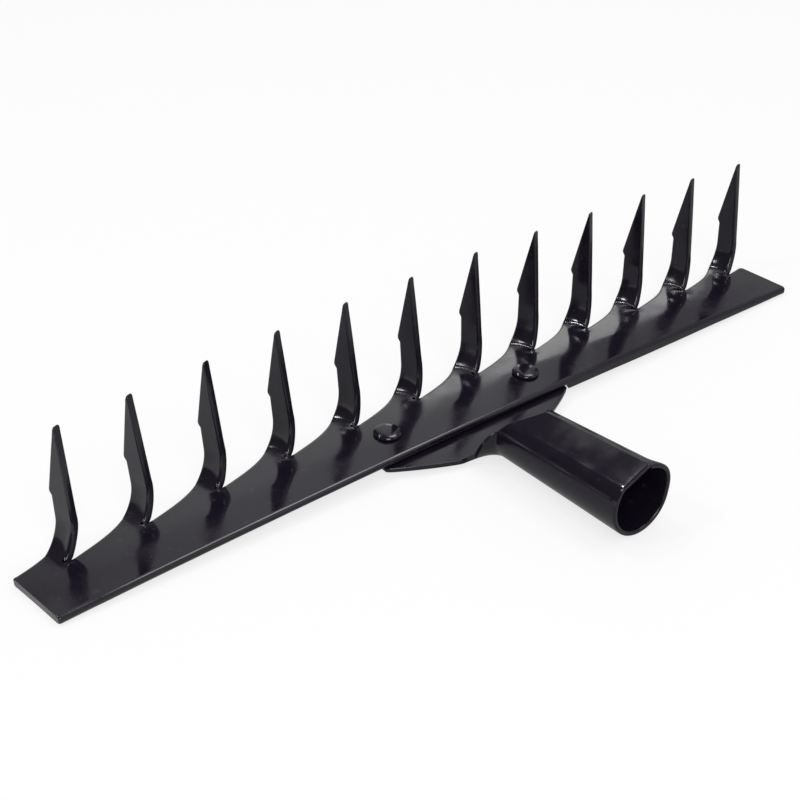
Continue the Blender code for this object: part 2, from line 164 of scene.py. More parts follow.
class SocketSettings(bpy.types.PropertyGroup):
    """Sizes of the sheet: wings under the bar and the tube for the handle."""

    sheet: length("Sheet", "Thickness of the socket's sheet", 2.0)
    gap: length("Gap", "Gap between the bar and the wings", 0.3)
    wing_half: length("Wing half width", "From the middle to a wing's end", 50.0)
    wing_rear: length("Wing rear", "Rear edge of the wings", -8.0)
    wing_corner: length("Wing corner", "Radius of the wings' rear corners", 6.0)
    straight_to: length("Wing straight", "Where the wings' ends start to curve in", -31.5)
    wing_power: factor("Wing curve", "Shape of the wings' front edge", 1.15)
    neck_half: length("Neck half width", "Half width of the sheet at the neck", 16.0)
    neck_y: length("Neck", "Where the neck is narrowest", -47.2)
    roll_from: length("Roll from", "Where the sheet starts to roll up", -45.0)
    roll_to: length("Roll to", "Where the sheet has its full roll", -55.0)
    seam_from: length("Seam from", "Where the two edges meet", -67.5)
    seam: length("Seam", "Gap of the seam", 1.2)
    seam_turn: angle("Seam turn", "How far the seam is to the right of the tube's top", 12.0)
    flat_from: angle("Flat from", "Where the left edge turns flat, from the underside", 132.0)
    edge_out: factor("Edge out", "Reach of the left edge at the seam, in radii of the tube", 1.08)
    flap_power: factor("Flap curve", "Shape of the flaps between the wings and the tube", 1.25)
    mouth_y: length("Mouth", "Where the mouth is", -122.0)
    mouth_radius: length("Mouth radius", "Outer radius at the mouth", 14.95)
    mouth_band: length("Mouth band", "Length of the straight band at the mouth", 2.0)
    dent: length("Mouth dent", "How far the mouth is sprung open beside the seam", 1.4)
    dent_length: length("Dent length", "Length of the sprung part of the tube", 7.0)
    dent_at: angle("Dent at", "Where round the tube it is sprung, from its underside", 122.0)
    dent_width: angle("Dent width", "How far round the tube the sprung part reaches", 45.0)
    root_y: length("Root", "Where the taper starts", -45.0)
    root_radius: length("Root radius", "Outer radius at the root", 12.3)
    floor_root: length("Floor at root", "Height of the tube's underside at the root", -7.8)
    floor_blend: length("Floor blend", "Length over which the wings dip to the tube", 20.0)
    edge_round: length("Edge rounding", "Width of the rounded edges", 0.8)


class RivetSettings(bpy.types.PropertyGroup):
    """Sizes and places of the rivets."""

    x: length("Across", "Distance of a rivet from the middle", 38.1)
    y: length("Along", "Where the rivets are between the bar's edges", -18.1)
    shank: length("Shank", "Radius of the shank", 3.0)
    head: length("Head", "Radius of the head", 5.9)
    head_height: length("Head height", "Height of the head over the bar", 2.2)
    tail: length("Tail", "Radius of the tail", 5.4)
    tail_height: length("Tail height", "Height of the tail under the wing", 1.5)
    seat: length("Seat", "Room left under a rivet's head and over its tail", 0.05)


class PaintSettings(bpy.types.PropertyGroup):
    """The black paint."""

    black: colour("Black", "Colour of the paint", (0.0055, 0.004, 0.0085))
    worn: colour("Worn", "Colour of thin spots in the paint", (0.04, 0.037, 0.042))
    roughness: factor("Roughness", "Roughness of the paint", 0.15)
    ior: FloatProperty(name="IOR", description="Refractive index of the paint", default=1.5)
    waves: length("Waves", "Depth of the slow waves", 0.05)
    streaks: length("Streaks", "Depth of the streaks along the bar", 0.012)
    grain: length("Grain", "Depth of the fine grain", 0.0012)


class StageSettings(bpy.types.PropertyGroup):
    """Floor and camera. The camera's angles and target are in the bar's own frame."""

    azimuth: angle("Azimuth", "How far the camera looks to the right of straight ahead", 39.56)
    elevation: angle("Elevation", "How far the camera looks down", 31.14)
    roll: angle("Roll", "Turn of the picture", -0.09)
    target: spot("Target", "Point in the picture's middle", (-17.26, -0.89, 0.0))
    distance: length("Distance", "From the camera to the target", 699.65)
    lens: FloatProperty(
        name="Lens", description="Focal length on a 36 mm sensor", default=75.5, unit="CAMERA"
    )
    floor_size: length("Floor", "Side of the floor", 6000.0)
    floor_drop: length("Floor drop", "How far the floor lies under the object", 0.2)


def plate():
    return bpy.context.scene.rake_plate


def tooth():
    return bpy.context.scene.rake_tooth


def sheet():
    return bpy.context.scene.rake_socket


def mix(a, b, amount):
    return a + (b - a) * amount


def smooth(value):
    """Smooth step from 0 to 1, flat outside that range."""
    value = min(max(value, 0.0), 1.0)
    return value * value * (3.0 - 2.0 * value)


def eased(value, ease):
    """Size of a value from -1 to 1, with its turn at 0 rounded off by ease."""
    return (math.hypot(value, ease) - ease) / (math.hypot(1.0, ease) - ease)


def span():
    """From the middle of the bar to the outermost tooth's root."""
    return 0.5 * plate().pitch * (plate().teeth - 1)


def half_bar():
    """Half the bar's length."""
    return span() + plate().end_margin


def root_x(index):
    """Where one tooth's root is along the bar."""
    return index * plate().pitch - span()


def bar_to_object():
    """The step from the bar's own frame to the object's, which stands on Z = 0."""
    right_end = CAD_HIGH.x - half_bar()
    return Vector((right_end, CAD_LOW.y - sheet().mouth_y, plate().sagitta + plate().thickness))


def arch(x, y, z):
    """A point of the flat bar moved onto the arched bar, in the object's frame."""
    turn = 2.0 * plate().sagitta * x / half_bar() ** 2
    drop = plate().sagitta * (x / half_bar()) ** 2
    return Vector((x + z * math.sin(turn), y, z * math.cos(turn) - drop)) + bar_to_object()


# Powers by which the lift at a notch dies away, and by which the bar's rear rise and its crest
# stay full until near its ends
LIFT_POWER = 3
RISE_POWER = 4
CREST_POWER = 8


def notch_lift(x, y):
    """How far a point of the bar is drawn up by the nearest tooth's fold."""
    p = plate()
    index = min(max(round((x - tooth().fold_right[0] + span()) / p.pitch), 0), p.teeth - 1)
    left, right = Vector(tooth().fold_left), notch(index)
    line = right - left
    place = Vector((x - root_x(index), y, 0.0)) - left
    along = min(max(place.dot(line) / line.length_squared, 0.0), 1.0)
    distance = (place - along * line).length
    return p.notch_lift * along * max(1.0 - distance / p.notch_reach, 0.0) ** LIFT_POWER


def front_edge(x):
    """Where the bar's front edge is."""
    return plate().front_edge - plate().front_bow * (1.0 - (x / half_bar()) ** 2)


def bar_profile(x, y):
    """Height of the bar before the arch and the folds: lower at the front, with a crest between."""
    p = plate()
    part = y / front_edge(x)
    out = x / half_bar()
    drop = p.rear_rise * (1.0 - out**RISE_POWER) * part
    crest = p.crown * (1.0 - eased(2.0 * part - 1.0, 2.0 * p.crown_round))
    return crest * (1.0 - out**CREST_POWER) - drop


def bar_height(x, y):
    """Height of the bar's top face before the arch."""
    return bar_profile(x, y) + notch_lift(x, y)


def edge_depth(x, y):
    """Thickness of the plate: its front edge is deeper on the right-hand half."""
    p = plate()
    near = smooth(1.0 - (y - front_edge(x)) / p.lip_width)
    full = 1.0 - p.lip_fade * smooth((x - p.lip_fades_from) / (half_bar() - p.lip_fades_from))
    ends = smooth((x - p.lip_from) / p.lip_grows) * smooth((half_bar() - x) / p.lip_stops)
    return p.thickness + p.lip * near * full * ends


def end_skew(x, y):
    """How much further the bar's left end reaches at the rear than at the front."""
    p = plate()
    out = max((-x - span()) / p.end_margin, 0.0)
    return Vector((-p.left_skew * out**2 * (1.0 - y / p.front_edge), 0.0, 0.0))


def deselect_all():
    bpy.ops.object.select_all(action="DESELECT")
    bpy.context.view_layer.objects.active = None


def activate(obj):
    deselect_all()
    obj.select_set(True)
    bpy.context.view_layer.objects.active = obj


def new_grid(name, columns, rows):
    """A grid of columns by rows points, and a table [column][row] of its vertex indices."""
    deselect_all()
    bpy.ops.mesh.primitive_grid_add(x_subdivisions=columns - 1, y_subdivisions=rows - 1, size=2.0)
    obj = bpy.context.active_object
    obj.name = name
    obj.data.name = name
    table = [[0] * rows for _ in range(columns)]
    for vert in obj.data.vertices:
        column = round((vert.co.x + 1.0) / 2.0 * (columns - 1))
        row = round((vert.co.y + 1.0) / 2.0 * (rows - 1))
        table[column][row] = vert.index
    return obj, table


def apply_modifier(obj, kind, **settings):
    """Adds a modifier with those settings and applies it."""
    activate(obj)
    modifier = obj.modifiers.new(kind.title(), kind)
    for key, value in settings.items():
        setattr(modifier, key, value)
    bpy.ops.object.modifier_apply(modifier=modifier.name)


# Widest rounding of a rim, as a share of the depth of the face beside it
RIM_SHARE = 0.8
ROUND_SEGMENTS = 4


def weigh_rim(obj, rounding):
    """Marks how far each outer edge is rounded: less where the face beside it is narrow."""
    bm = bmesh.new()
    bm.from_mesh(obj.data)
    layer = bm.edges.layers.float.new("bevel_weight_edge")
    for edge in bm.edges:
        if edge.is_boundary:
            depth = edge.link_faces[0].calc_area() / edge.calc_length()
            edge[layer] = min(1.0, RIM_SHARE * depth / rounding)
    bm.to_mesh(obj.data)
    bm.free()


def finish_sheet(obj, thickness, rounding, depth_group=""):
    """Gives an open surface its thickness below or outside, rounded edges and even shading."""
    weigh_rim(obj, rounding)
    apply_modifier(
        obj,
        "SOLIDIFY",
        thickness=thickness,
        offset=-1.0,
        use_even_offset=True,
        vertex_group=depth_group,
    )
    apply_modifier(
        obj,
        "BEVEL",
        width=rounding,
        segments=ROUND_SEGMENTS,
        limit_method="WEIGHT",
        use_clamp_overlap=False,
    )
    activate(obj)
    bpy.ops.object.shade_smooth()
    apply_modifier(obj, "WEIGHTED_NORMAL")


def finish_piece(obj, slot, *nodes):
    """Paints a piece, lets it stand for its nodes and ride on the object."""
    obj.data.materials.clear()
    obj.data.materials.append(black_paint())
    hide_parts(*nodes)
    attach(obj, "root")


# Steps across a tooth, along a sweep and round a corner, and points from the front to the rear
FOLD_PARTS = 8
SWEEP_STEPS = 16
CORNER_STEPS = 8
BAR_ROWS = 16
# Power of the part of a sweep that comes at its end
SWEEP_POWER = 4


def rear_points():
    """(x, y) along the rear edge, in order: a sweep from each notch up to the next fold line."""
    left = Vector(tooth().fold_left)
    points = []
    for index in range(plate().teeth + 1):
        right = notch(max(index - 1, 0))
        start = right.y if index > 0 else tooth().end_sweep
        for step in range(1, SWEEP_STEPS):
            part = step / SWEEP_STEPS
            x = root_x(index) + mix(right.x - plate().pitch, left.x, part)
            if abs(x) < half_bar() - plate().corner:
                along = mix(part, part**SWEEP_POWER, tooth().sweep_late)
                points.append((x, mix(start, left.y, along)))
        if index < plate().teeth:
            for part in range(FOLD_PARTS + 1):
                at = left.lerp(notch(index), part / FOLD_PARTS)
                points.append((root_x(index) + at.x, at.y))
    return points


def corner_columns(rear, side):
    """(x, rear y, front y) of the columns in one end's rounded corners, from the end inwards."""
    columns = []
    for step in range(CORNER_STEPS + 1):
        turn = math.radians(90.0 * step / CORNER_STEPS)
        x = side * (half_bar() - plate().corner * (1.0 - math.cos(turn)))
        inset = plate().corner * (1.0 - math.sin(turn))
        columns.append((x, rear - inset, front_edge(x) + inset))
    return columns


def build_bar():
    """The bar's top face: a grid with a swept rear edge, rounded corners and an arch."""
    rear = rear_points()
    columns = corner_columns(rear[0][1], -1.0)
    columns += [(x, y, front_edge(x)) for x, y in rear]
    columns += corner_columns(rear[-1][1], 1.0)[::-1]
    obj, table = new_grid("head_plate_painted", len(columns), BAR_ROWS)
    for (x, back, front), indices in zip(columns, table):
        for row, index in enumerate(indices):
            y = mix(front, back, row / (BAR_ROWS - 1))
            obj.data.vertices[index].co = arch(x, y, bar_height(x, y)) + end_skew(x, y)
    return obj


def blade_edges(height):
    """Where the left and right edges of a blade are across its face, at one height."""
    t = tooth()
    turned_in = eased(max(height - t.neck_from, 0.0) / (t.tip_at - t.neck_from), t.neck_ease)
    right = mix(t.right, t.tip_centre + 0.5 * t.tip_width, turned_in)
    barb = t.left - t.barb_out
    taper_from = t.barb_at + t.barb_flat
    if height <= t.neck_to:
        left = t.left
    elif height <= taper_from:
        left = mix(t.left, barb, min((height - t.neck_to) / (t.barb_at - t.neck_to), 1.0))
    else:
        part = (height - taper_from) / (t.tip_at - taper_from)
        left = mix(barb, t.tip_centre - 0.5 * t.tip_width, part)
    return left, right


def on_blade(across, height):
    """A point of the blade's face in the tooth's own frame."""
    t = tooth()
    face_x = Vector((math.cos(t.turn), -math.sin(t.turn), 0.0))
    away = Vector((math.sin(t.turn), math.cos(t.turn), 0.0))
    foot = Vector(t.blade_at) + across * face_x
    return foot + height * math.tan(t.lean) * away + Vector((0.0, 0.0, height))


def bend_edge(foot, start, end, top, part):
    """A point of the curve that leaves foot by the step start and reaches top by the step end."""
    out = foot + start
    under = top - end
    rest = 1.0 - part
    middle = 3.0 * rest**2 * part * out + 3.0 * rest * part**2 * under
    return rest**3 * foot + middle + part**3 * top


# Steps up a tooth's bend, its neck and its taper
BEND_STEPS = 24
NECK_STEPS = 8
TAPER_STEPS = 18

# How each tooth was left when it was bent: lean to +X, lean to +Y and extra twist in degrees,
# and how many millimetres further along the bar its notch is
TOOTH_SET = (
    (3.5, -0.5, 1.0, -1.2),
    (-0.5, -1.0, 1.0, -0.5),
    (-0.5, -0.5, 0.0, 0.0),
    (-1.0, 0.0, -1.0, 0.0),
    (-1.0, 0.5, -0.5, 0.5),
    (-1.0, 0.5, -0.5, 0.5),
    (1.0, 1.0, -1.5, 0.5),
    (1.5, 0.5, -2.0, 1.0),
    (0.5, 0.0, -1.0, 1.0),
    (0.5, 0.0, 0.5, 0.0),
    (-0.3, 0.0, 5.0, -0.3),
    (-1.8, 0.0, 7.0, -2.2),
)


def notch(index):
    """The right end of one tooth's fold line, where it meets the bar's rear edge."""
    return Vector(tooth().fold_right) + Vector((TOOTH_SET[index][3] * MM, 0.0, 0.0))


def tooth_stations(index):
    """(left point, right point) of each station from the fold line up, in the tooth's own frame."""
    t = tooth()
    foot = notch(index) + Vector((0.0, 0.0, plate().notch_lift))
    left_top = on_blade(t.left, t.bend_left)
    right_top = on_blade(t.right, t.bend_right)
    left = Vector(t.fold_left), Vector(t.start_left), Vector(t.end_left), left_top
    right = foot, Vector(t.start_right), Vector(t.end_right), right_top
    stations = []
    for step in range(BEND_STEPS + 1):
        part = step / BEND_STEPS
        stations.append((bend_edge(*left, part), bend_edge(*right, part)))
    heights = [mix(t.bend_right, t.neck_to, step / NECK_STEPS) for step in range(1, NECK_STEPS + 1)]
    taper_from = t.barb_at + t.barb_flat
    heights += [t.barb_at, taper_from]
    heights += [mix(taper_from, t.tip_at, step / TAPER_STEPS) for step in range(1, TAPER_STEPS + 1)]
    for height in heights:
        left, right = blade_edges(height)
        stations.append((on_blade(left, height), on_blade(right, height)))
    return stations


def set_tooth(point, index):
    """A point of the tooth in its own frame, twisted, leaned and moved to its place on the bar."""
    pivot = Vector((tooth().blade_at[0], tooth().blade_at[1], 0.0))
    amount = smooth(point.z / tooth().bend_left)
    lean_x, lean_y, twist = (math.radians(value) * amount for value in TOOTH_SET[index][:3])
    turned = Matrix.Rotation(-twist, 3, "Z") @ (point - pivot) + pivot
    x = root_x(index) + turned.x + point.z * math.sin(lean_x)
    return arch(x, turned.y + point.z * math.sin(lean_y), point.z)


def build_tooth(index):
    """One tooth's face: a strip grid from the fold line to the tip, hollowed where it bends."""
    t = tooth()
    stations = tooth_stations(index)
    obj, table = new_grid(f"tooth_{index + 1}", FOLD_PARTS + 1, len(stations))
    for row, (left, right) in enumerate(stations):
        across = right - left
        face_in = across.cross(Vector((0.0, 0.0, 1.0))).normalized()
        height = 0.5 * (left.z + right.z)
        dish = t.dish * smooth(height / t.dish_from) * (1.0 - smooth(height / t.dish_fades))
        for part in range(FOLD_PARTS + 1):
            amount = part / FOLD_PARTS
            point = left + across * amount
            foot = stations[0][0].lerp(stations[0][1], amount)
            x = root_x(index) + foot.x
            settle = (bar_height(x, foot.y) - foot.z) * max(1.0 - row / BEND_STEPS, 0.0) ** 2
            point = point - face_in * 4.0 * amount * (1.0 - amount) * dish
            point.z += settle
            if row == 0:
                place = arch(x, foot.y, bar_height(x, foot.y))
            else:
                place = set_tooth(point, index)
            obj.data.vertices[table[part][row]].co = place
    return obj


# Distance within which points of the bar and the teeth are joined
WELD = 0.01 * MM


class RAKE_OT_plate(bpy.types.Operator):
    """Build the steel plate: the arched bar and its folded, twisted teeth"""

    bl_idname = "rake.plate"
    bl_label = "Plate and teeth"

    def execute(self, context):
        bar = build_bar()
        teeth = [build_tooth(index) for index in range(plate().teeth)]
        activate(bar)
        for piece in teeth:
            piece.select_set(True)
        bpy.ops.object.join()
        bpy.ops.object.mode_set(mode="EDIT")
        bpy.ops.mesh.select_all(action="SELECT")
        bpy.ops.mesh.remove_doubles(threshold=WELD)
        bpy.ops.object.mode_set(mode="OBJECT")
        deepest = plate().thickness + plate().lip
        depth = bar.vertex_groups.new(name="depth")
        for vert in bar.data.vertices:
            flat = vert.co - bar_to_object()
            depth.add([vert.index], edge_depth(flat.x, flat.y) / deepest, "REPLACE")
        finish_sheet(bar, deepest, plate().edge_round, "depth")
        finish_piece(bar, "head_paint", "head_plate")
        return {"FINISHED"}


# Steps across the sheet, and along it: a wing's corner, its straight end, its curve, the flap
# and the tube
SHEET_PARTS = 96
ARC_STEPS = 8
SIDE_STEPS = 6
WING_STEPS = 24
FLAP_STEPS = 28
TUBE_STEPS = 20


def taper_share(y):
    """0 where the taper starts, 1 on the short straight band at the mouth."""
    s = sheet()
    return min((s.root_y - y) / (s.root_y - s.mouth_y - s.mouth_band), 1.0)


def tube_radius(y):
    """Outer radius of the tube."""
    return mix(sheet().root_radius, sheet().mouth_radius, taper_share(y))


def tube_row(y):
    """(y, left width, right width) of the sheet that closes the tube but for the seam."""
    half = math.pi * tube_radius(y) - 0.5 * sheet().seam
    shift = sheet().seam_turn * tube_radius(y)
    return y, half + shift, half - shift


def wing_rows():
    """(y, left width, right width) of the flat wings, from their rear edge to the neck."""
    s = sheet()
    rows = []
    for step in range(ARC_STEPS + 1):
        turn = math.radians(90.0 * step / ARC_STEPS)
        y = s.wing_rear - s.wing_corner * (1.0 - math.cos(turn))
        half = s.wing_half - s.wing_corner * (1.0 - math.sin(turn))
        rows.append((y, half, half))
    for step in range(1, SIDE_STEPS):
        y = mix(s.wing_rear - s.wing_corner, s.straight_to, step / SIDE_STEPS)
        rows.append((y, s.wing_half, s.wing_half))
    for step in range(WING_STEPS):
        amount = math.sin(math.radians(90.0 * step / WING_STEPS))
        half = mix(s.neck_half, s.wing_half, (1.0 - amount**s.wing_power) ** (1.0 / s.wing_power))
        rows.append((mix(s.straight_to, s.neck_y, amount), half, half))
    return rows


def sheet_rows():
    """(y, left width, right width) of the whole sheet laid flat, from its rear to the mouth."""
    s = sheet()
    rows = wing_rows()
    _, left, right = tube_row(s.seam_from)
    for step in range(FLAP_STEPS):
        part = step / FLAP_STEPS
        grown = part**s.flap_power
        y = mix(s.neck_y, s.seam_from, part)
        rows.append((y, mix(s.neck_half, left, grown), mix(s.neck_half, right, grown)))
    for step in range(TUBE_STEPS + 1):
        rows.append(tube_row(mix(s.seam_from, s.mouth_y + s.mouth_band, step / TUBE_STEPS)))
    rows.append(tube_row(s.mouth_y))
    return rows


def sheet_floor(y):
    """Height of the sheet's outer face on its centre line."""
    s = sheet()
    p = plate()
    wing = bar_profile(0.0, max(y, front_edge(0.0))) - p.thickness - s.gap - s.sheet
    tube = mix(s.floor_root, -(p.sagitta + p.thickness), taper_share(y))
    return mix(wing, tube, smooth((p.front_edge - y) / s.floor_blend))


def round_tube(turn, reach=1.0):
    """(x, height over the underside) on a round tube of radius 1, drawn out to reach there."""
    return Vector((reach * math.sin(turn), 1.0 - reach * math.cos(turn)))


def tube_section(turn):
    """The same on the real tube, whose left edge is flat and stands a little proud at the seam."""
    s = sheet()
    if turn > -s.flat_from:
        return round_tube(turn)
    edge = -math.pi - s.seam_turn
    part = (turn + s.flat_from) / (edge + s.flat_from)
    return round_tube(-s.flat_from).lerp(round_tube(edge, s.edge_out), part)


def sheet_point(y, along):
    """A point of the sheet's outer face: flat under the bar, rolled up from the neck on."""
    s = sheet()
    roll = smooth((s.roll_from - y) / (s.roll_from - s.roll_to))
    x, rise = along, 0.0
    if roll > 0.0:
        radius = tube_radius(y) / roll
        turn = along / radius
        sprung = s.dent * smooth(1.0 - (y - s.mouth_y) / s.dent_length)
        sprung *= smooth(1.0 - abs(turn - s.dent_at) / s.dent_width)
        x, rise = radius * tube_section(turn) + sprung * Vector((math.sin(turn), -math.cos(turn)))
    drop = plate().sagitta * (x / half_bar()) ** 2
    return Vector((x, y, sheet_floor(y) + rise - drop)) + bar_to_object()


class RAKE_OT_socket(bpy.types.Operator):
    """Build the handle socket: one sheet, flat under the bar and rolled to a tube"""

    bl_idname = "rake.socket"
    bl_label = "Handle socket"

    def execute(self, context):
        rows = sheet_rows()
        obj, table = new_grid("socket_painted", SHEET_PARTS + 1, len(rows))
        for column, indices in enumerate(table):
            amount = 2.0 * column / SHEET_PARTS - 1.0
            for (y, left, right), index in zip(rows, reversed(indices)):
                along = amount * (left if amount < 0.0 else right)
                obj.data.vertices[index].co = sheet_point(y, along)
        obj.data.flip_normals()
        finish_sheet(obj, sheet().sheet, sheet().edge_round)
        finish_piece(obj, "socket_paint", "socket")
        return {"FINISHED"}


def select_end(obj, side):
    """Selects the shank's end face, up or down, in edit mode."""
    mesh = bmesh.from_edit_mesh(obj.data)
    bpy.ops.mesh.select_mode(type="FACE")
    bpy.ops.mesh.select_all(action="DESELECT")
    face = max(mesh.faces, key=lambda f: side * f.calc_center_median().z)
    face.select_set(True)
    bmesh.update_edit_mesh(obj.data)


# Size and rise of each ring of a rivet's dome, as shares of its radius and height
DOME = ((0.97, 0.0), (1.0, 0.28), (0.95, 0.3), (0.82, 0.22), (0.6, 0.13), (0.3, 0.07))
RIVET_SIDES = 48


def shape_dome(obj, side, start, radius, height):
    """Turns the shank's end into a flattened dome of that radius and height, ring by ring."""
    select_end(obj, side)
    now = start
    for size, rise in DOME:
        scale = size * radius / now
        now = size * radius
        step = (0.0, 0.0, side * rise * height)
        bpy.ops.mesh.extrude_region_move(TRANSFORM_OT_translate={"value": step})
        bpy.ops.transform.resize(value=(scale, scale, 1.0), center_override=(0.0, 0.0, 0.0))


def build_rivet(name, side, node):
    """One rivet, set through the bar and the wing at the left (-1) or the right (1)."""
    r = bpy.context.scene.rake_rivet
    p = plate()
    stack = p.thickness + sheet().gap + sheet().sheet
    deselect_all()
    bpy.ops.mesh.primitive_cylinder_add(
        vertices=RIVET_SIDES,
        radius=r.shank,
        depth=stack + 2.0 * r.seat,
        location=(0.0, 0.0, -0.5 * stack),
    )
    obj = bpy.context.active_object
    obj.name = name
    obj.data.name = name
    bpy.ops.object.transform_apply(location=True)
    bpy.ops.object.mode_set(mode="EDIT")
    shape_dome(obj, 1.0, r.shank, r.head, r.head_height)
    shape_dome(obj, -1.0, r.shank, r.tail, r.tail_height)
    bpy.ops.object.mode_set(mode="OBJECT")
    x = side * r.x
    tilt = 2.0 * p.sagitta * x / half_bar() ** 2
    rise = bar_profile(x, r.y + MM) - bar_profile(x, r.y - MM)
    turn = Matrix.Rotation(tilt, 4, "Y") @ Matrix.Rotation(math.atan2(rise, 2.0 * MM), 4, "X")
    obj.data.transform(Matrix.Translation(arch(x, r.y, bar_profile(x, r.y))) @ turn)
    apply_modifier(obj, "SUBSURF", levels=2, render_levels=2)
    bpy.ops.object.shade_smooth()
    finish_piece(obj, "rivet_paint", node)


class RAKE_OT_rivets(bpy.types.Operator):
    """Build the two rivets with hammered heads"""

    bl_idname = "rake.rivets"
    bl_label = "Rivets"

    def execute(self, context):
        build_rivet("rivet_left_painted", -1.0, "rivet_left")
        build_rivet("rivet_right_painted", 1.0, "rivet_right")
        return {"FINISHED"}


def noise(nodes, links, place, scale, stretch, detail):
    """Noise over the object's own metres, drawn out along X by stretch."""
    mapping = nodes.new("ShaderNodeMapping")
    mapping.inputs["Scale"].default_value = (1.0 / stretch, 1.0, 1.0)
    texture = nodes.new("ShaderNodeTexNoise")
    texture.inputs["Scale"].default_value = scale
    texture.inputs["Detail"].default_value = detail
    links.new(place.outputs["Object"], mapping.inputs["Vector"])
    links.new(mapping.outputs["Vector"], texture.inputs["Vector"])
    return texture.outputs["Fac"]


def spread(nodes, links, value, low, high, to_low, to_high):
    """Maps values from low to high onto to_low to to_high."""
    node = nodes.new("ShaderNodeMapRange")
    node.interpolation_type = "SMOOTHSTEP"
    node.inputs["From Min"].default_value = low
    node.inputs["From Max"].default_value = high
    node.inputs["To Min"].default_value = to_low
    node.inputs["To Max"].default_value = to_high
    links.new(value, node.inputs["Value"])
    return node.outputs["Result"]


def add_bump(nodes, links, height, depth, below):
    """A bump of that depth, on top of the normal given by another bump."""
    bump = nodes.new("ShaderNodeBump")
    bump.inputs["Distance"].default_value = depth
    bump.inputs["Strength"].default_value = 1.0
    links.new(height, bump.inputs["Height"])
    if below:
        links.new(below, bump.inputs["Normal"])
    return bump.outputs["Normal"]


# Scale, stretch along X and detail of each noise in the paint
PATCH_NOISE = (55.0, 1.0, 5.0)
SPOT_NOISE = (420.0, 1.0, 3.0)
WAVE_NOISE = (60.0, 1.0, 1.0)
STREAK_NOISE = (260.0, 9.0, 2.0)
GRAIN_NOISE = (1400.0, 1.0, 2.0)
# From and to which value of the noise, and from and to what share: of the worn colour in the
# thin spots, and of the paint's roughness in the duller patches
THIN_SPOTS = (0.62, 0.78, 0.0, 0.4)
DULL_PATCHES = (0.35, 0.7, 0.6, 1.7)


def black_paint():
    """Glossy black paint: waves, brushed streaks, fine grain, duller patches and thin spots."""
    paint = bpy.context.scene.rake_paint
    material = bpy.data.materials.get(PAINT_NAME)
    if material:
        return material
    material = bpy.data.materials.new(PAINT_NAME)
    material.use_nodes = True
    nodes = material.node_tree.nodes
    links = material.node_tree.links
    shader = nodes["Principled BSDF"]
    shader.inputs["IOR"].default_value = paint.ior
    place = nodes.new("ShaderNodeTexCoord")
    patches = noise(nodes, links, place, *PATCH_NOISE)
    thin = spread(nodes, links, noise(nodes, links, place, *SPOT_NOISE), *THIN_SPOTS)
    colour_mix = nodes.new("ShaderNodeMix")
    colour_mix.data_type = "RGBA"
    colour_mix.inputs["A"].default_value = (*paint.black, 1.0)
    colour_mix.inputs["B"].default_value = (*paint.worn, 1.0)
    links.new(thin, colour_mix.inputs["Factor"])
    links.new(colour_mix.outputs["Result"], shader.inputs["Base Color"])
    low, high, least, most = DULL_PATCHES
    dull = spread(nodes, links, patches, low, high, least * paint.roughness, most * paint.roughness)
    links.new(dull, shader.inputs["Roughness"])
    bumps = (WAVE_NOISE, paint.waves), (STREAK_NOISE, paint.streaks), (GRAIN_NOISE, paint.grain)
    normal = None
    for pattern, depth in bumps:
        normal = add_bump(nodes, links, noise(nodes, links, place, *pattern), depth, normal)
    links.new(normal, shader.inputs["Normal"])
    return material


LAMP_DISTANCE = 1.6
# Name, azimuth and elevation, width and height in degrees, and glow of each lamp
LAMPS = (
    ("lamp_overhead", -8.4, 61.5, (5.0, 5.0), 60.0),
    ("lamp_left", -65.2, 45.8, (6.0, 6.0), 45.0),
    ("lamp_front", -150.0, 40.0, (24.0, 30.0), 7.0),
    ("lamp_edge", 90.0, 67.0, (26.0, 22.0), 5.0),
    ("lamp_back", 45.5, 21.5, (14.5, 13.0), 1.6),
)

FLOOR_COLOUR = (0.6, 0.6, 0.6, 1.0)
WHITE = (1.0, 1.0, 1.0, 1.0)
# How much of the floor is plain white, to the camera and in reflections
WHITE_SEEN = 0.75
WHITE_MIRRORED = 0.9
# From and to X in metres, and how bright that white is there in reflections
FLOOR_MIRRORED = (-0.22, -0.06, 0.8, 0.35)


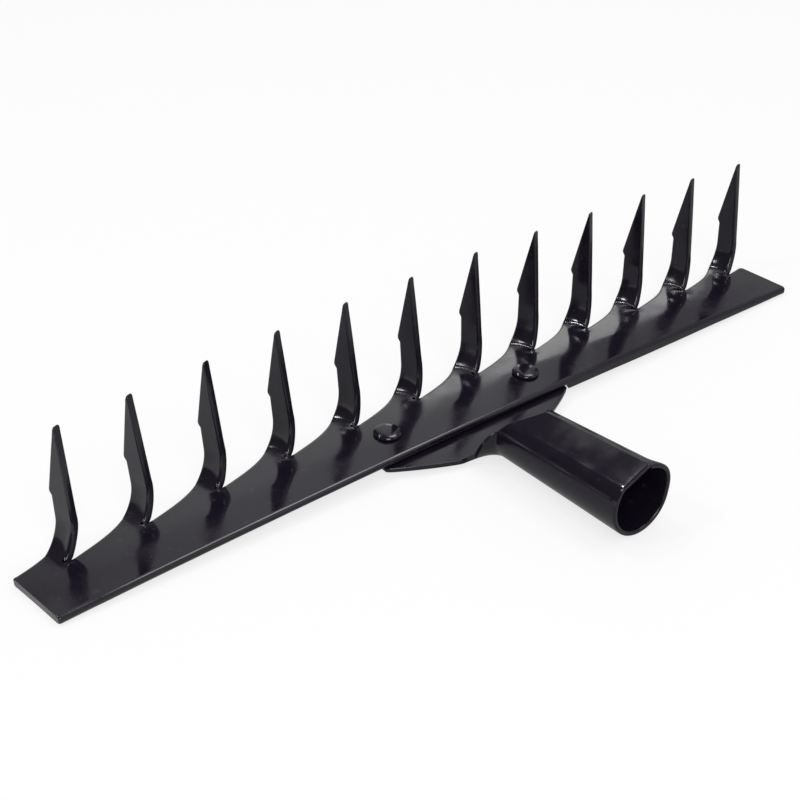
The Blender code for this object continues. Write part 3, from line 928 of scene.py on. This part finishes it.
def floor_material():
    """Pale floor: white for the camera, greyer to the right in reflections, with a shadow."""
    material = bpy.data.materials.new("studio_floor")
    material.use_nodes = True
    nodes = material.node_tree.nodes
    links = material.node_tree.links
    nodes.clear()
    output = nodes.new("ShaderNodeOutputMaterial")
    diffuse = nodes.new("ShaderNodeBsdfDiffuse")
    diffuse.inputs["Color"].default_value = FLOOR_COLOUR
    white = nodes.new("ShaderNodeEmission")
    white.inputs["Color"].default_value = WHITE
    path = nodes.new("ShaderNodeLightPath")
    spot_on_floor = nodes.new("ShaderNodeSeparateXYZ")
    links.new(nodes.new("ShaderNodeTexCoord").outputs["Object"], spot_on_floor.inputs[0])
    level = nodes.new("ShaderNodeMix")
    level.inputs["A"].default_value = 1.0
    links.new(path.outputs["Is Glossy Ray"], level.inputs["Factor"])
    mirrored = spread(nodes, links, spot_on_floor.outputs["X"], *FLOOR_MIRRORED)
    links.new(mirrored, level.inputs["B"])
    links.new(level.outputs["Result"], white.inputs["Strength"])
    seen = nodes.new("ShaderNodeMath")
    seen.operation = "MULTIPLY"
    seen.inputs[1].default_value = WHITE_SEEN
    links.new(path.outputs["Is Camera Ray"], seen.inputs[0])
    part = nodes.new("ShaderNodeMath")
    part.operation = "MULTIPLY_ADD"
    part.inputs[1].default_value = WHITE_MIRRORED
    links.new(path.outputs["Is Glossy Ray"], part.inputs[0])
    links.new(seen.outputs[0], part.inputs[2])
    blend = nodes.new("ShaderNodeMixShader")
    links.new(part.outputs[0], blend.inputs[0])
    links.new(diffuse.outputs[0], blend.inputs[1])
    links.new(white.outputs[0], blend.inputs[2])
    links.new(blend.outputs[0], output.inputs["Surface"])
    return material


# From and to a direction's X, and how bright the room is there in reflections: dark on the
# left, bright on the right, and dimmed again at the far right
ROOM_LEFT = (0.05, 0.45, 0.1, 0.85)
ROOM_FAR_RIGHT = (0.58, 0.69, 1.0, 0.45)
# How brightly the room lights the object
ROOM_LIGHT = 0.85


def build_world():
    """A white room for the camera, with darker sides in reflections."""
    world = bpy.data.worlds.new("studio_world")
    bpy.context.scene.world = world
    world.use_nodes = True
    nodes = world.node_tree.nodes
    links = world.node_tree.links
    background = nodes["Background"]
    background.inputs["Color"].default_value = WHITE
    place = nodes.new("ShaderNodeTexCoord")
    toward = nodes.new("ShaderNodeSeparateXYZ")
    links.new(place.outputs["Generated"], toward.inputs[0])
    room = nodes.new("ShaderNodeMath")
    room.operation = "MULTIPLY"
    for side, socket in zip((ROOM_LEFT, ROOM_FAR_RIGHT), room.inputs):
        links.new(spread(nodes, links, toward.outputs["X"], *side), socket)
    path = nodes.new("ShaderNodeLightPath")
    mirrored = nodes.new("ShaderNodeMix")
    mirrored.inputs["A"].default_value = ROOM_LIGHT
    links.new(path.outputs["Is Glossy Ray"], mirrored.inputs["Factor"])
    links.new(room.outputs[0], mirrored.inputs["B"])
    seen = nodes.new("ShaderNodeMix")
    seen.inputs["B"].default_value = 1.0
    links.new(path.outputs["Is Camera Ray"], seen.inputs["Factor"])
    links.new(mirrored.outputs["Result"], seen.inputs["A"])
    links.new(seen.outputs["Result"], background.inputs["Strength"])


def add_lamp(name, azimuth, elevation, size, glow):
    """A soft lamp that faces the object, at an azimuth from the teeth's side to the right."""
    around, up = math.radians(azimuth), math.radians(elevation)
    level = math.cos(up)
    direction = Vector((math.sin(around) * level, math.cos(around) * level, math.sin(up)))
    deselect_all()
    bpy.ops.object.light_add(type="AREA", location=direction * LAMP_DISTANCE)
    lamp = bpy.context.active_object
    lamp.name = name
    lamp.rotation_euler = (-direction).to_track_quat("-Z", "Y").to_euler()
    wide, high = (LAMP_DISTANCE * math.radians(degrees) for degrees in size)
    lamp.data.shape = "RECTANGLE"
    lamp.data.size = wide
    lamp.data.size_y = high
    lamp.data.energy = glow * math.pi * wide * high


def add_camera():
    """The camera, at the angle, distance and lens of the picture."""
    s = bpy.context.scene.rake_stage
    across = Vector((math.cos(s.azimuth), -math.sin(s.azimuth), 0.0))
    ahead = Vector((
        math.sin(s.azimuth) * math.cos(s.elevation),
        math.cos(s.azimuth) * math.cos(s.elevation),
        -math.sin(s.elevation),
    ))
    up = across.cross(ahead)
    right = math.cos(s.roll) * across + math.sin(s.roll) * up
    up = math.cos(s.roll) * up - math.sin(s.roll) * across
    place = Vector(s.target) + bar_to_object() - s.distance * ahead
    deselect_all()
    bpy.ops.object.camera_add(location=place)
    camera = bpy.context.active_object
    turn = Matrix((right, up, -ahead)).transposed()
    camera.rotation_euler = turn.to_euler()
    camera.data.sensor_width = 36.0
    camera.data.lens = s.lens
    camera.data.clip_start = 0.01
    camera.data.clip_end = 50.0
    bpy.context.scene.camera = camera


class RAKE_OT_stage(bpy.types.Operator):
    """Set up the floor, the studio light and the camera"""

    bl_idname = "rake.stage"
    bl_label = "Floor, light and camera"

    def execute(self, context):
        s = context.scene.rake_stage
        deselect_all()
        bpy.ops.mesh.primitive_plane_add(size=s.floor_size, location=(0.0, 0.0, -s.floor_drop))
        floor = context.active_object
        floor.name = "studio_floor"
        floor.data.materials.append(floor_material())
        build_world()
        for lamp in LAMPS:
            add_lamp(*lamp)
        add_camera()
        context.scene.view_settings.view_transform = "Standard"
        return {"FINISHED"}


class RAKE_PT_panel(bpy.types.Panel):
    """Lists the rake's pieces in the sidebar"""

    bl_label = "Garden rake head"
    bl_idname = "RAKE_PT_panel"
    bl_space_type = "VIEW_3D"
    bl_region_type = "UI"
    bl_category = "Rake"

    def draw(self, context):
        for operator in OPERATORS:
            self.layout.operator(operator.bl_idname)


SETTINGS = {
    "rake_plate": PlateSettings,
    "rake_tooth": ToothSettings,
    "rake_socket": SocketSettings,
    "rake_rivet": RivetSettings,
    "rake_paint": PaintSettings,
    "rake_stage": StageSettings,
}
OPERATORS = (RAKE_OT_plate, RAKE_OT_socket, RAKE_OT_rivets, RAKE_OT_stage)


def register():
    for group in SETTINGS.values():
        bpy.utils.register_class(group)
    for name, group in SETTINGS.items():
        setattr(bpy.types.Scene, name, PointerProperty(type=group))
    for operator in OPERATORS:
        bpy.utils.register_class(operator)
    bpy.utils.register_class(RAKE_PT_panel)


def unregister():
    bpy.utils.unregister_class(RAKE_PT_panel)
    for operator in reversed(OPERATORS):
        bpy.utils.unregister_class(operator)
    for name in SETTINGS:
        delattr(bpy.types.Scene, name)
    for group in reversed(list(SETTINGS.values())):
        bpy.utils.unregister_class(group)


def main():
    register()
    bpy.ops.rake.plate()
    bpy.ops.rake.socket()
    bpy.ops.rake.rivets()
    bpy.ops.rake.stage()


if __name__ == "__main__":
    main()
